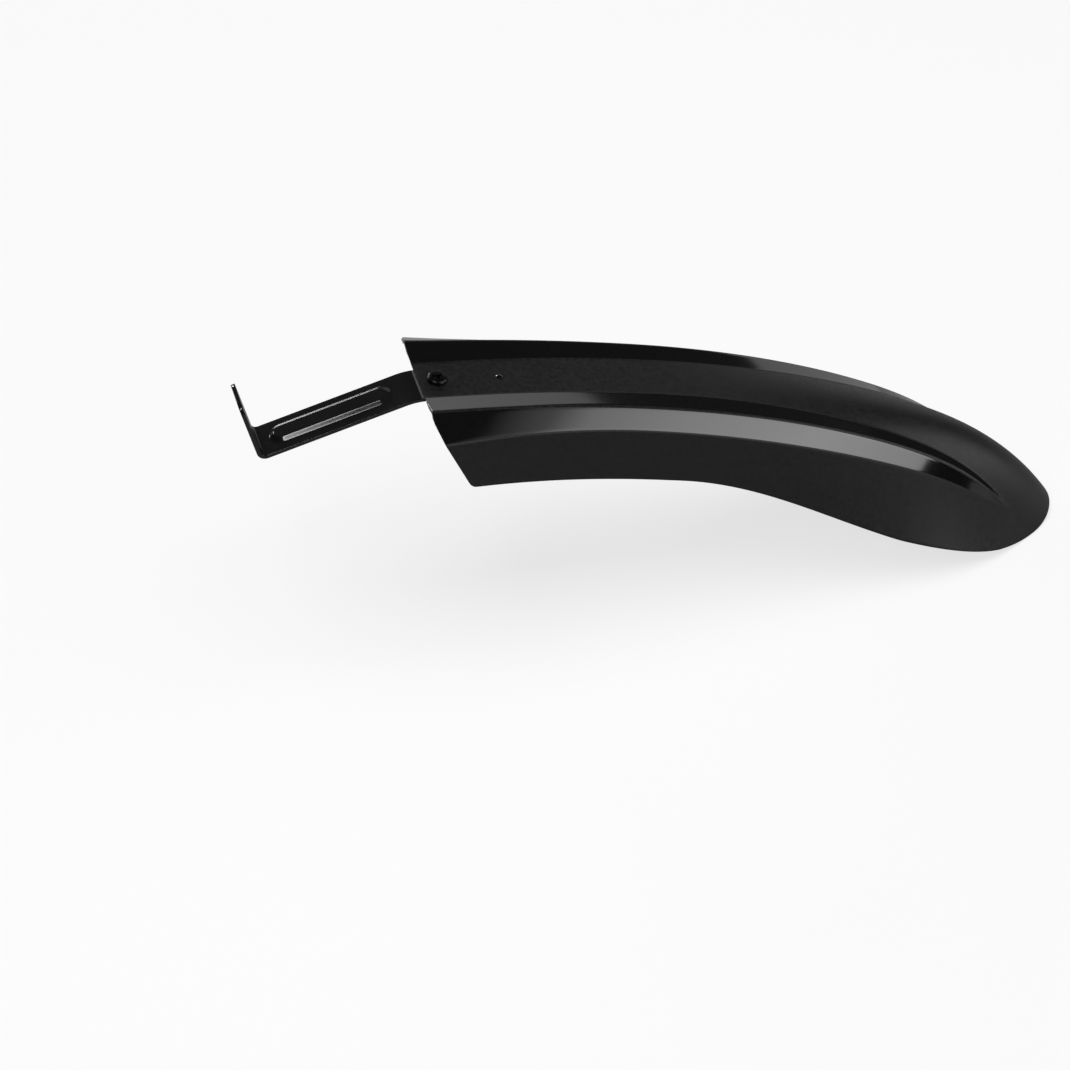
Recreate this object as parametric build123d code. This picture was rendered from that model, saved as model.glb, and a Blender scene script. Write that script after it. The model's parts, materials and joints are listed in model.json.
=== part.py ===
from build123d import *
import math
import os

# Front mudguard of a bicycle: a moulded blade bolted to a bent steel strap.
# Sizes are in millimetres and angles in degrees.
# The origin is the centre of the fork bolt hole, on the face of the tab that lies against the fork crown.
# X runs forward to the blade's tail, Z is up as on the bicycle, and XZ is the plane of symmetry.
# Each piece is first placed with the strap level and its tab upright, then leaned with the fork.

# Blade: its top centre line, from the front edge to the tip of the tail
BLADE_LENGTH = 361.0
SEAT_LENGTH = 26.0  # straight stretch that is bolted to the strap
ARCH_RADIUS = 750.0  # gentle arch that follows the seat
TAIL_RADIUS = 165.0  # tighter curl of the tail
CURL_BEFORE_TIP = 133.0  # where the arch begins to tighten
FULL_CURL_BEFORE_TIP = 61.0  # where the tail radius is reached
WALL = 1.8

# Blade: its cross-section, as half-widths, heights and angles below the horizontal
WAIST_AT = 110.0  # narrowest place of the ridges, from the front edge
RUNOUT_BEFORE_TIP = 26.0  # where the ridges run out into the tail
CHANNEL_HALF = 12.5
RIDGE_HALF_FRONT = 27.2
RIDGE_HALF_WAIST = 25.0
RIDGE_HEIGHT = 3.1  # above the channel floor at the front edge
RIDGE_LEVEL_AT = 165.0  # where the ridges have come down to the channel floor
SHOULDER_FRONT = 17.8
SHOULDER_WAIST = 11.9
SHOULDER_ANGLE_FRONT = 31.0
SHOULDER_ANGLE_TAIL = 57.0
FLANGE_ANGLE_FRONT = 73.0
FLANGE_ANGLE_WAIST = 77.5
FLANGE_ANGLE_TAIL = 49.5
CROWN_RADIUS = 19.2  # across the arched back of the tail
CROWN_START = 119.0  # where the channel floor begins to arch
CROWN_BEFORE_TIP = 11.5  # where the arch is full
CREASE_STRIP = 0.8  # what is left of the risers and shoulders past the run-out
WAIST_POWER = 2.0  # how sizes leave the waist
SHOULDER_POWER = 4.0  # how late the shoulders narrow towards the run-out
MERGE_POWER = 6.0  # how late risers and shoulders turn into the faces beside them

# Blade: its lower edge, as depths below the top centre line
EDGE_DEPTH_FRONT = 27.3
EDGE_DEPTH_WAIST = 32.0
EDGE_DEPTH_TAIL = 46.0
EDGE_WAIST_AT = 131.0
EDGE_TAIL_BEFORE_TIP = 96.0
NOSE_BEFORE_TIP = 106.0  # where the lower edge begins to round towards the tip
NOSE_POWER = 2.07
FRONT_RAKE_ANGLE = 34.0  # lean of the flange's front edge
RAKE_CORNER_RADIUS = 5.0
TRIM_MARGIN = 4.0  # how far the untrimmed blade reaches past its edges
NOSE_STEPS = 9  # stretches of the lower edge round the tip

# Blade: the moulded pip on its channel floor
PIP_AT = 40.0
PIP_RADIUS = 2.1
PIP_HEIGHT = 0.8
PIP_SINK = 0.1  # of its rim below the floor

# Strap bracket
FORK_LEAN_ANGLE = 18.0  # lean of the fork crown, and so of the tab, from upright
STRAP_THICKNESS = 2.0
STRAP_WIDTH = 22.0
STRAP_REACH = 77.0  # from the tab's inner face to the bend
STRAP_BEND_ANGLE = 22.5  # fall of the lap from the level strap
STRAP_BEND_RADIUS = 30.0
STRAP_SETBACK = 2.3  # from the bend's corner to the blade's front edge
STRAP_LAP = 22.0  # length under the blade
STRAP_END_RADIUS = 6.0
TAB_HEIGHT = 32.0  # above the strap's upper face
TAB_BEND_RADIUS = 2.5
TAB_CORNER_RADIUS = 5.0
FORK_HOLE_DIAMETER = 6.5
FORK_HOLE_HEIGHT = 18.0  # above the strap's upper face
BEAD_LENGTH = 60.5
BEAD_WIDTH = 12.6
BEAD_HEIGHT = 2.0  # above the strap's upper face
BEAD_TAPER_ANGLE = 49.0
BEAD_TO_TAB = 6.2  # from the tab's inner face to the end of the bead

# Screw, washer and nut
SCREW_AT = 9.5  # behind the blade's front edge
SCREW_DIAMETER = 5.0
SCREW_LENGTH = 12.0
SCREW_HEAD_DIAMETER = 9.8
SCREW_HEAD_HEIGHT = 2.5
SCREW_HEAD_RIM = 0.8
SCREW_TIP_CHAMFER = 0.6
RECESS_LENGTH = 5.2
RECESS_WIDTH = 1.2
RECESS_DEPTH = 1.5
RECESS_TAPER_ANGLE = 8.0
HOLE_CLEARANCE = 0.5  # of the screw's holes in blade and strap, on the diameter
WASHER_DIAMETER = 10.0
WASHER_THICKNESS = 1.0
WASHER_CLEARANCE = 0.3
NUT_ACROSS_FLATS = 8.0
NUT_HEIGHT = 4.0
NUT_CLEARANCE = 0.1
NUT_SIDES = 6
NUT_CHAMFER_ANGLE = 30.0

SECTION_STEP = 18.0  # spacing of the blade's sections
LINE_STEP = 1.0  # step along the top centre line when it is added up


def clamp(value):
    return min(max(value, 0.0), 1.0)


def smooth(share):
    share = clamp(share)
    return share * share * (3 - 2 * share)


# Places along the top centre line, from the front edge
CURL_START = BLADE_LENGTH - CURL_BEFORE_TIP
CURL_END = BLADE_LENGTH - FULL_CURL_BEFORE_TIP
RUNOUT_AT = BLADE_LENGTH - RUNOUT_BEFORE_TIP
CROWN_END = BLADE_LENGTH - CROWN_BEFORE_TIP
EDGE_TAIL_AT = BLADE_LENGTH - EDGE_TAIL_BEFORE_TIP
NOSE_AT = BLADE_LENGTH - NOSE_BEFORE_TIP

# Places of the strap in side view
STRAP_TOP = -FORK_HOLE_HEIGHT
BEND_X = STRAP_THICKNESS + STRAP_REACH
LAP_X = math.cos(math.radians(STRAP_BEND_ANGLE))
LAP_Z = -math.sin(math.radians(STRAP_BEND_ANGLE))

# The blade's own plane: its origin is the front edge on the channel floor, X runs back along the seat
BLADE_PLANE = Plane(
    origin=(
        BEND_X + STRAP_SETBACK * LAP_X - WALL * LAP_Z,
        0,
        STRAP_TOP + STRAP_SETBACK * LAP_Z + WALL * LAP_X,
    ),
    x_dir=(LAP_X, 0, LAP_Z),
    z_dir=(-LAP_Z, 0, LAP_X),
)


def top_line_fall(at):
    """Fall of the top centre line, in radians: none on the seat, then an arch that tightens to the tail."""
    span = CURL_END - CURL_START
    share = clamp((at - CURL_START) / span)
    curled = span * (share**3 - share**4 / 2) + max(at - CURL_END, 0)
    return max(at - SEAT_LENGTH, 0) / ARCH_RADIUS + curled * (1 / TAIL_RADIUS - 1 / ARCH_RADIUS)


def top_line_point(at):
    """Place of the top centre line in the blade's plane, added up in short steps."""
    if at <= SEAT_LENGTH:
        return at, 0.0
    steps = math.ceil((at - SEAT_LENGTH) / LINE_STEP)
    step = (at - SEAT_LENGTH) / steps
    x, z = SEAT_LENGTH, 0.0
    for number in range(steps):
        fall = top_line_fall(SEAT_LENGTH + (number + 0.5) * step)
        x += step * math.cos(fall)
        z -= step * math.sin(fall)
    return x, z


def below_top_line(at, depth):
    """Point in side view at a depth below the top centre line, square to it."""
    x, z = top_line_point(at)
    fall = top_line_fall(at)
    return x - depth * math.sin(fall), z - depth * math.cos(fall)


def through_waist(at, front, waist, tail, power=WAIST_POWER):
    """A size that runs smoothly from the front edge through the waist to the ridges' run-out."""
    if at < WAIST_AT:
        return waist + (front - waist) * (1 - at / WAIST_AT) ** WAIST_POWER
    return waist + (tail - waist) * clamp((at - WAIST_AT) / (RUNOUT_AT - WAIST_AT)) ** power


def full_edge_depth(at):
    """Depth of the lower edge before it rounds towards the tip."""
    towards_front = max(1 - at / EDGE_WAIST_AT, 0) ** WAIST_POWER
    towards_tail = smooth((at - EDGE_WAIST_AT) / (EDGE_TAIL_AT - EDGE_WAIST_AT))
    front = (EDGE_DEPTH_FRONT - EDGE_DEPTH_WAIST) * towards_front
    tail = (EDGE_DEPTH_TAIL - EDGE_DEPTH_WAIST) * towards_tail
    return EDGE_DEPTH_WAIST + front + tail


def edge_depth(at):
    """Depth of the lower edge: it closes on the top line at the tip as a superellipse does."""
    share = clamp((at - NOSE_AT) / (BLADE_LENGTH - NOSE_AT))
    return full_edge_depth(at) * (1 - share**NOSE_POWER) ** (1 / NOSE_POWER)


def half_section(at):
    """Points of the outer half section (channel edge, ridge, shoulder, flange tip) and the falls between."""
    channel = through_waist(at, CHANNEL_HALF, CHANNEL_HALF, RIDGE_HALF_WAIST - CREASE_STRIP)
    ridge = through_waist(at, RIDGE_HALF_FRONT, RIDGE_HALF_WAIST, RIDGE_HALF_WAIST)
    arch = smooth((at - CROWN_START) / (CROWN_END - CROWN_START)) / CROWN_RADIUS
    drop = arch * channel**2 / 2
    left = 1 - clamp(at / RUNOUT_AT)
    merged = clamp(at / RUNOUT_AT) ** MERGE_POWER

    crown_fall = math.atan(arch * channel)
    rise = RIDGE_HEIGHT * (1 - at / RIDGE_LEVEL_AT) * left
    riser_fall = math.atan2(-rise, ridge - channel)
    riser_fall += (crown_fall - riser_fall) * merged
    flange_fall = through_waist(at, FLANGE_ANGLE_FRONT, FLANGE_ANGLE_WAIST, FLANGE_ANGLE_TAIL)
    shoulder_fall = SHOULDER_ANGLE_TAIL - (SHOULDER_ANGLE_TAIL - SHOULDER_ANGLE_FRONT) * left**2
    shoulder_fall += (flange_fall - shoulder_fall) * merged
    flange_fall = math.radians(flange_fall)
    shoulder_fall = math.radians(shoulder_fall)

    shoulder = through_waist(at, SHOULDER_FRONT, SHOULDER_WAIST, CREASE_STRIP, SHOULDER_POWER)
    points = [(channel, -drop)]
    points.append((ridge, -drop - (ridge - channel) * math.tan(riser_fall)))
    points.append((
        ridge + shoulder * math.cos(shoulder_fall),
        points[1][1] - shoulder * math.sin(shoulder_fall),
    ))
    flange_drop = full_edge_depth(at) + TRIM_MARGIN + points[2][1]
    points.append((
        points[2][0] + flange_drop / math.tan(flange_fall),
        points[2][1] - flange_drop,
    ))
    return points, [crown_fall, riser_fall, shoulder_fall, flange_fall]


def inset(points, falls):
    """The same points moved in by the wall, mitred where two faces meet."""
    moved = []
    for (y, z), fall, next_fall in zip(points, falls, falls[1:] + falls[-1:]):
        middle = (fall + next_fall) / 2
        reach = WALL / math.cos((next_fall - fall) / 2)
        moved.append((y - reach * math.sin(middle), z - reach * math.cos(middle)))
    return moved


def blade_section(at):
    """Closed wire of the wall section, square to the top centre line, in order round the wall."""
    outer, falls = half_section(at)
    inner = inset(outer, falls)

    def crown(points, top, sign):
        y, z = points[0]
        return Bezier((-sign * y, z), (0, 2 * top - z), (sign * y, z))

    def side(sign):
        right = [(sign * y, z) for y, z in outer + inner[::-1]]
        return [Line(start, end) for start, end in zip(right, right[1:])]

    left_side = [Line(line @ 1, line @ 0) for line in reversed(side(-1))]
    wall = Wire([crown(outer, 0, 1)] + side(1) + [crown(inner, -WALL, -1)] + left_side)
    x, z = top_line_point(at)
    fall = top_line_fall(at)
    plane = Plane(origin=(x, 0, z), x_dir=(0, 1, 0), z_dir=(math.cos(fall), 0, -math.sin(fall)))
    return plane * wall


def blade_side_view():
    """Side view of the trimmed blade: raked front edge, lower edge and rounded tip."""
    rake_back = math.tan(math.radians(FRONT_RAKE_ANGLE))
    corner_at = edge_depth(0) * rake_back
    stretch = NOSE_AT - corner_at
    steps = math.ceil(stretch / SECTION_STEP)
    stations = [corner_at + stretch * number / steps for number in range(steps)]
    for number in range(NOSE_STEPS + 1):
        turn = math.pi / 2 * number / NOSE_STEPS
        stations.append(NOSE_AT + (BLADE_LENGTH - NOSE_AT) * math.sin(turn))
    edge = [below_top_line(at, edge_depth(at)) for at in stations]

    over_front = RIDGE_HEIGHT + TRIM_MARGIN
    over_tip = below_top_line(BLADE_LENGTH, -over_front)
    lower_edge = Spline(*edge, over_tip)
    outline = lower_edge + Polyline(over_tip, (over_tip[0], over_front), (0, over_front), (0, 0), edge[0])
    face = make_face(outline)
    corner = face.vertices().sort_by_distance(edge[0])[0]
    return fillet(corner, RAKE_CORNER_RADIUS)


def make_blade():
    first = -TRIM_MARGIN
    stretch = BLADE_LENGTH + 2 * TRIM_MARGIN
    count = math.ceil(stretch / SECTION_STEP)
    sections = [blade_section(first + stretch * number / count) for number in range(count + 1)]
    shell = Solid.make_loft(sections)
    reach = RIDGE_HALF_FRONT + SHOULDER_FRONT + EDGE_DEPTH_TAIL
    trim = extrude(Plane.XZ * blade_side_view(), reach, both=True)
    seat = Box(STRAP_LAP + 2 * TRIM_MARGIN, STRAP_WIDTH, WALL, align=(Align.MIN, Align.CENTER, Align.MAX))
    shell = (shell & trim) - Pos(-TRIM_MARGIN, 0, -WALL) * seat

    x, z = top_line_point(PIP_AT)
    fall = math.degrees(top_line_fall(PIP_AT))
    profile = make_face(
        Polyline((0, PIP_HEIGHT), (0, -WALL / 2), (PIP_RADIUS, -WALL / 2), (PIP_RADIUS, 0))
        + Bezier((PIP_RADIUS, 0), (PIP_RADIUS / 2, PIP_HEIGHT), (0, PIP_HEIGHT))
    )
    pip = Pos(x, 0, z - PIP_SINK) * Rot(0, fall, 0) * revolve(Plane.XZ * profile, Axis.Z)
    return BLADE_PLANE * (shell + pip) - screw_hole(SCREW_DIAMETER + HOLE_CLEARANCE)


def screw_hole(diameter):
    """Bore along the screw's axis, through everything that it clamps."""
    return BLADE_PLANE * Pos(SCREW_AT, 0, 0) * Cylinder(diameter / 2, 2 * SCREW_LENGTH)


def make_strap_bracket():
    """One strip of steel: the tab is bent up square, and the lap falls away under the blade's seat."""
    lap_end = STRAP_SETBACK + STRAP_LAP
    upper_face = FilletPolyline(
        (STRAP_THICKNESS, STRAP_TOP + TAB_HEIGHT),
        (STRAP_THICKNESS, STRAP_TOP),
        (BEND_X, STRAP_TOP),
        (BEND_X + lap_end * LAP_X, STRAP_TOP + lap_end * LAP_Z),
        radius=[TAB_BEND_RADIUS, STRAP_BEND_RADIUS],
    )
    strip = make_face(offset(upper_face, STRAP_THICKNESS, side=Side.RIGHT, closed=True))
    strap = extrude(Plane.XZ * strip, STRAP_WIDTH / 2, both=True)
    strap = fillet(strap.edges().filter_by(Axis.X).group_by(Axis.Z)[-1], TAB_CORNER_RADIUS)
    through_lap = Axis((0, 0, 0), (-LAP_Z, 0, LAP_X))
    strap = fillet(strap.edges().filter_by(through_lap), STRAP_END_RADIUS)

    bead_x = STRAP_THICKNESS + BEAD_TO_TAB + BEAD_LENGTH / 2
    taper = math.radians(BEAD_TAPER_ANGLE)
    spread = 2 * STRAP_THICKNESS * (1 / math.cos(taper) - math.tan(taper))
    bead = Pos(bead_x, 0, STRAP_TOP) * raised_slot(BEAD_LENGTH, BEAD_WIDTH)
    hollow = raised_slot(BEAD_LENGTH - spread, BEAD_WIDTH - spread)
    hollow = Pos(bead_x, 0, STRAP_TOP - STRAP_THICKNESS) * hollow
    fork_hole = Rot(0, 90, 0) * Cylinder(FORK_HOLE_DIAMETER / 2, 4 * STRAP_THICKNESS)
    return strap + bead - hollow - fork_hole - screw_hole(SCREW_DIAMETER + HOLE_CLEARANCE)


def raised_slot(length, width):
    """Stadium that stands up from its plane, with sloping walls."""
    return extrude(SlotOverall(length, width), amount=BEAD_HEIGHT, taper=BEAD_TAPER_ANGLE)


def make_screw():
    """Pan-head screw with a cross recess, its head on the channel floor."""
    head = Pos(0, 0, SCREW_HEAD_HEIGHT / 2) * Cylinder(SCREW_HEAD_DIAMETER / 2, SCREW_HEAD_HEIGHT)
    head = fillet(head.edges().group_by(Axis.Z)[-1], SCREW_HEAD_HEIGHT - SCREW_HEAD_RIM)
    shank = Pos(0, 0, -SCREW_LENGTH / 2) * Cylinder(SCREW_DIAMETER / 2, SCREW_LENGTH)
    shank = chamfer(shank.edges().group_by(Axis.Z)[0], SCREW_TIP_CHAMFER)
    cross = Rectangle(RECESS_LENGTH, RECESS_WIDTH) + Rectangle(RECESS_WIDTH, RECESS_LENGTH)
    recess = extrude(Pos(0, 0, SCREW_HEAD_HEIGHT) * cross, amount=-RECESS_DEPTH, taper=RECESS_TAPER_ANGLE)
    screw = head + shank - recess
    return BLADE_PLANE * Pos(SCREW_AT, 0, 0) * screw


def make_washer():
    seat = -WALL - STRAP_THICKNESS
    washer = Pos(SCREW_AT, 0, seat - WASHER_THICKNESS / 2) * Cylinder(WASHER_DIAMETER / 2, WASHER_THICKNESS)
    return BLADE_PLANE * washer - screw_hole(SCREW_DIAMETER + WASHER_CLEARANCE)


def make_nut():
    """Hexagon nut, with its corners turned off at both faces."""
    seat = -WALL - STRAP_THICKNESS - WASHER_THICKNESS
    flat = NUT_ACROSS_FLATS / 2
    corner = flat / math.cos(math.pi / NUT_SIDES)
    fall = (corner - flat) * math.tan(math.radians(NUT_CHAMFER_ANGLE))
    hexagon = extrude(RegularPolygon(corner, NUT_SIDES), amount=-NUT_HEIGHT)
    barrel = make_face(Polyline(
        (0, 0), (flat, 0), (corner, -fall),
        (corner, fall - NUT_HEIGHT), (flat, -NUT_HEIGHT), (0, -NUT_HEIGHT),
        close=True,
    ))
    nut = hexagon & revolve(Plane.XZ * barrel, Axis.Z)
    return BLADE_PLANE * Pos(SCREW_AT, 0, seat) * nut - screw_hole(SCREW_DIAMETER + NUT_CLEARANCE)


PARTS = {
    "blade": make_blade(),
    "strap_bracket": make_strap_bracket(),
    "screw": make_screw(),
    "washer": make_washer(),
    "nut": make_nut(),
}
os.makedirs("parts", exist_ok=True)
for name, part in PARTS.items():
    export_step(Rot(0, -FORK_LEAN_ANGLE, 0) * part, f"parts/{name}.step")
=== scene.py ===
"""Looks of a front mudguard: moulded blade, painted strap, screw, washer, nut and a plain studio."""

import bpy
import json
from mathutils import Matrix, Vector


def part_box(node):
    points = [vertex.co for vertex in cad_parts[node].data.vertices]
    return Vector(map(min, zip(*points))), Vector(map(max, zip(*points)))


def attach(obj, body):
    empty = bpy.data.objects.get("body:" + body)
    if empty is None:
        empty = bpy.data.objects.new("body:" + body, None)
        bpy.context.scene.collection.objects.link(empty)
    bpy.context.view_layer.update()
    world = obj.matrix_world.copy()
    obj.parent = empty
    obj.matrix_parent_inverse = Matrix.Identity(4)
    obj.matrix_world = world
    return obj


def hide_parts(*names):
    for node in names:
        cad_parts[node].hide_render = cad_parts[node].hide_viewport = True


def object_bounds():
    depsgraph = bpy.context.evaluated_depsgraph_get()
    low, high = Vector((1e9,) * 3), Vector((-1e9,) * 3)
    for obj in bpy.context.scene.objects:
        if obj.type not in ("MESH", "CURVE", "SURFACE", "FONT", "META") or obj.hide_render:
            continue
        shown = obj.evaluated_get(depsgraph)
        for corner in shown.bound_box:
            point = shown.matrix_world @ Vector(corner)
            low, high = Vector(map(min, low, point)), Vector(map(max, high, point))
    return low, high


bl_info = {
    "name": "Front mudguard",
    "version": (1, 0, 0),
    "blender": (4, 5, 0),
    "location": "View3D > Sidebar > Mudguard",
    "description": "Builds the finished pieces of a front bicycle mudguard round its solids",
    "category": "Object",
}

import json
import math

import bmesh
import bpy
import numpy as np
from bpy.props import FloatProperty, FloatVectorProperty, PointerProperty
from bpy.types import Operator, Panel, PropertyGroup
from mathutils import Matrix, Vector

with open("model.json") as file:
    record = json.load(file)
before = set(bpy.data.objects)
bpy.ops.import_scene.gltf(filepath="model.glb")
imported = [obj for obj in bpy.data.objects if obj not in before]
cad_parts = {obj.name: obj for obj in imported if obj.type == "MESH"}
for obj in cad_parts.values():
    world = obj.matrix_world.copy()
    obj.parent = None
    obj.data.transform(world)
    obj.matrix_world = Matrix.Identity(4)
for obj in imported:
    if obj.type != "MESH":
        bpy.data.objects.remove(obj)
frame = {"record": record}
CAD_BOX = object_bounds()

BODY = "root"

# The fork bolt hole gives the strap's hole, thickness and lean, and the solid gives its width
FORK_HOLE = next(mount for mount in frame["record"]["mounts"] if mount["kind"] == "bore")
FORK_HOLE_RADIUS = FORK_HOLE["dims"]["r_mm"] / 1000
STRAP_THICKNESS = FORK_HOLE["dims"]["length_mm"] / 1000
STRAP_LOW, STRAP_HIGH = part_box("strap_bracket")
STRAP_WIDTH = STRAP_HIGH.y - STRAP_LOW.y
FORK_LEAN = math.atan2(-FORK_HOLE["axis"][2], -FORK_HOLE["axis"][0])

# Powers and shares that shape the blade between its sizes
WAIST_POWER = 2.0
SHOULDER_POWER = 4.0
MERGE_POWER = 6.0
NOSE_POWER = 2.07
BEND_SHARE = 0.45

# Pieces of the blade's half section: crown, bend, riser, bend, shoulder, bend and flange
CROWN, FLANGE = 0, 6
BENDS = (1, 3, 5)
PIECE_STEPS = (12, 5, 8, 5, 8, 5, 18)

# Polish of those pieces, which fades out between two shares of the nose
POLISH = "polish"
PIECE_POLISH = (0.0, 0.0, 1.0, 0.0, 1.0, 0.0, 0.0)
POLISH_FADE = (0.52, 0.72)

# Fineness of the meshes, and of what is found by tries
LINE_STEP = 0.0005
FRONT_ROWS = 46
MIDDLE_ROWS = 110
NOSE_ROWS = 70
STRAP_ROWS = (44, 10, 150, 12, 36)  # tab, tab's bend, level run, bend and lap
STRAP_COLUMNS = 89
TURN_STEPS = 72
HEAD_STEPS = 8
THREAD_STEPS = 10  # in one pitch
RIM_SEGMENTS = 3
SHARP_ANGLE = math.radians(40)
RAKE_TRIES = 12
NOSE_TRIES = 40
TINY = 1e-9

# Shapes of the small pieces, as shares of their sizes
PIP_PROFILE = ((1.0, -0.6), (1.0, 0.0), (0.86, 0.1), (0.68, 0.42), (0.48, 0.74), (0.28, 0.93), (0.1, 1.0))
HEAD_TOP = (0.08, 0.25, 0.42)
THREAD_DEPTH = 0.6
TIP_SHARE = 1 / 3
RECESS_MOUTH, RECESS_FLOOR = 1.2, 0.55
NUT_FACE = 0.97
NUT_BLUNTING = math.radians(28)
NUT_CHAMFER = math.radians(30)

# Repeats in a metre of the patterns in the finishes
PLASTIC_CLOUD = 22.0
PLASTIC_FLOW = (14.0, 160.0, 160.0)
PLASTIC_SPECK = 480.0
PAINT_CLOUD = 45.0
PAINT_DUST = 1400.0
METAL_CLOUD = 700.0
METAL_SCRATCH = (9000.0, 900.0, 2500.0)
METAL_RINGS = 30000.0  # in radians
FLOOR_CLOUD = 3.0

# Depths, tints and shares of those patterns
SPECK_CONTRAST = 2.6
POLISHED_PIGMENT = 0.2
FLOW_SHARE = 1 / 8
DUST_STOPS = ((0.74, 0.0), (0.80, 1.0))
DUST_SHARE = 1 / 2
RING_HEIGHT = 0.000002
SCRATCH_HEIGHT = 0.000003
COLD_TINT = (1.0, 1.0, 1.04)
WARM_TINT = (1.02, 1.0, 0.94)
FLOOR_MOTTLE = 0.03
FLOOR_FADE = 0.4
WHITE = (1.0, 1.0, 1.0, 1.0)

# Brightness of the key softbox up its height, and the lamps that are aimed at the strap's tab
KEY_FADE = ((0.0, 0.75), (0.25, 1.0), (0.55, 0.80), (0.74, 0.55), (0.83, 0.20), (1.0, 0.0))
TAB_LAMPS = ("strip_softbox", "rim_lamp", "edge_lamp")


def size(name, default, description):
    """A length that a user may change."""
    return FloatProperty(name=name, description=description, default=default, precision=4, unit="LENGTH")


def angle(name, degrees, description):
    """An angle that a user may change."""
    return FloatProperty(
        name=name, description=description, default=math.radians(degrees), subtype="ANGLE", unit="ROTATION"
    )


def level(name, default, description):
    """A plain number, such as a strength or a roughness."""
    return FloatProperty(name=name, description=description, default=default, min=0.0)


def colour(name, default, description):
    """A colour, as linear red, green and blue."""
    return FloatVectorProperty(
        name=name, description=description, default=default, size=3, min=0.0, max=1.0, subtype="COLOR"
    )


class BladeSettings(PropertyGroup):
    """Sizes and finish of the moulded blade."""

    length: size("Length", 0.361, "Top centre line, from the front edge to the tip of the tail")
    wall: size("Wall", 0.0018, "Thickness of the moulding")
    seat_length: size("Seat length", 0.026, "Straight stretch that is bolted to the strap")
    arch_radius: size("Arch radius", 0.750, "Gentle arch that follows the seat")
    tail_radius: size("Tail radius", 0.165, "Tighter curl of the tail")
    curl_before_tip: size("Curl before tip", 0.133, "Where the arch begins to tighten")
    full_curl_before_tip: size("Full curl before tip", 0.061, "Where the tail radius is reached")
    waist_at: size("Waist", 0.110, "Narrowest place of the ridges, from the front edge")
    runout_before_tip: size("Run-out before tip", 0.026, "Where the ridges run out into the tail")
    channel_half: size("Channel half-width", 0.0125, "From the middle to the channel's edge")
    ridge_half_front: size("Ridge at front", 0.0272, "From the middle to the ridge, at the front edge")
    ridge_half_waist: size("Ridge at waist", 0.0250, "From the middle to the ridge, at the waist")
    ridge_height: size("Ridge height", 0.0031, "Above the channel floor, at the front edge")
    ridge_level_at: size("Ridge level at", 0.165, "Where the ridges have come down to the channel floor")
    shoulder_front: size("Shoulder at front", 0.0178, "Width of the sloping shoulder, at the front edge")
    shoulder_waist: size("Shoulder at waist", 0.0119, "Width of the sloping shoulder, at the waist")
    shoulder_angle_front: angle("Shoulder fall at front", 31, "Below the horizontal")
    shoulder_angle_tail: angle("Shoulder fall at tail", 57, "Below the horizontal")
    flange_angle_front: angle("Flange fall at front", 73, "Below the horizontal")
    flange_angle_waist: angle("Flange fall at waist", 77.5, "Below the horizontal")
    flange_angle_tail: angle("Flange fall at tail", 49.5, "Below the horizontal")
    crown_radius: size("Crown radius", 0.0192, "Across the arched back of the tail")
    crown_start: size("Crown start", 0.119, "Where the channel floor begins to arch")
    crown_before_tip: size("Crown before tip", 0.0115, "Where the arch is full")
    crease_strip: size("Crease strip", 0.0008, "What is left of risers and shoulders past the run-out")
    edge_depth_front: size("Edge depth at front", 0.0273, "Lower edge below the top line")
    edge_depth_waist: size("Edge depth at waist", 0.0320, "Lower edge below the top line")
    edge_depth_tail: size("Edge depth at tail", 0.0460, "Lower edge below the top line")
    edge_waist_at: size("Edge waist", 0.131, "Shallowest place of the lower edge")
    edge_tail_before_tip: size("Edge tail before tip", 0.096, "Deepest place of the lower edge")
    nose_before_tip: size("Nose before tip", 0.106, "Where the lower edge begins to round to the tip")
    nose_corner_before_tip: size("Nose corner", 0.023, "Where the mesh turns from lower edge to nose")
    rake_angle: angle("Front rake", 34, "Lean of the flange's front edge")
    rake_corner_radius: size("Rake corner", 0.005, "Rounding of the flange's front corner")
    crease_reach: size("Crease reach", 0.0009, "How far the rounding of a crease reaches to each side")
    rim_round: size("Rim rounding", 0.0004, "Rounding of the moulding's edges")
    pip_at: size("Pip place", 0.040, "From the front edge to the moulded pip")
    pip_radius: size("Pip radius", 0.0021, "Foot of the moulded pip")
    pip_height: size("Pip height", 0.0008, "Moulded pip above its rim")
    pip_sink: size("Pip sink", 0.0001, "Rim of the pip below the channel floor")
    colour: colour("Colour", (0.0075, 0.0075, 0.0076), "Black pigment of the plastic")
    satin: level("Satin roughness", 0.42, "Mean roughness of the grained channel and flanges")
    polish: level("Polished roughness", 0.07, "Mean roughness of the polished risers and shoulders")
    ior: level("Refractive index", 1.50, "How strongly the plastic mirrors")
    grain: size("Grain", 0.0008, "Size of the fine moulded grain")
    grain_height: size("Grain height", 0.000016, "Depth of the fine moulded grain")


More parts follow.
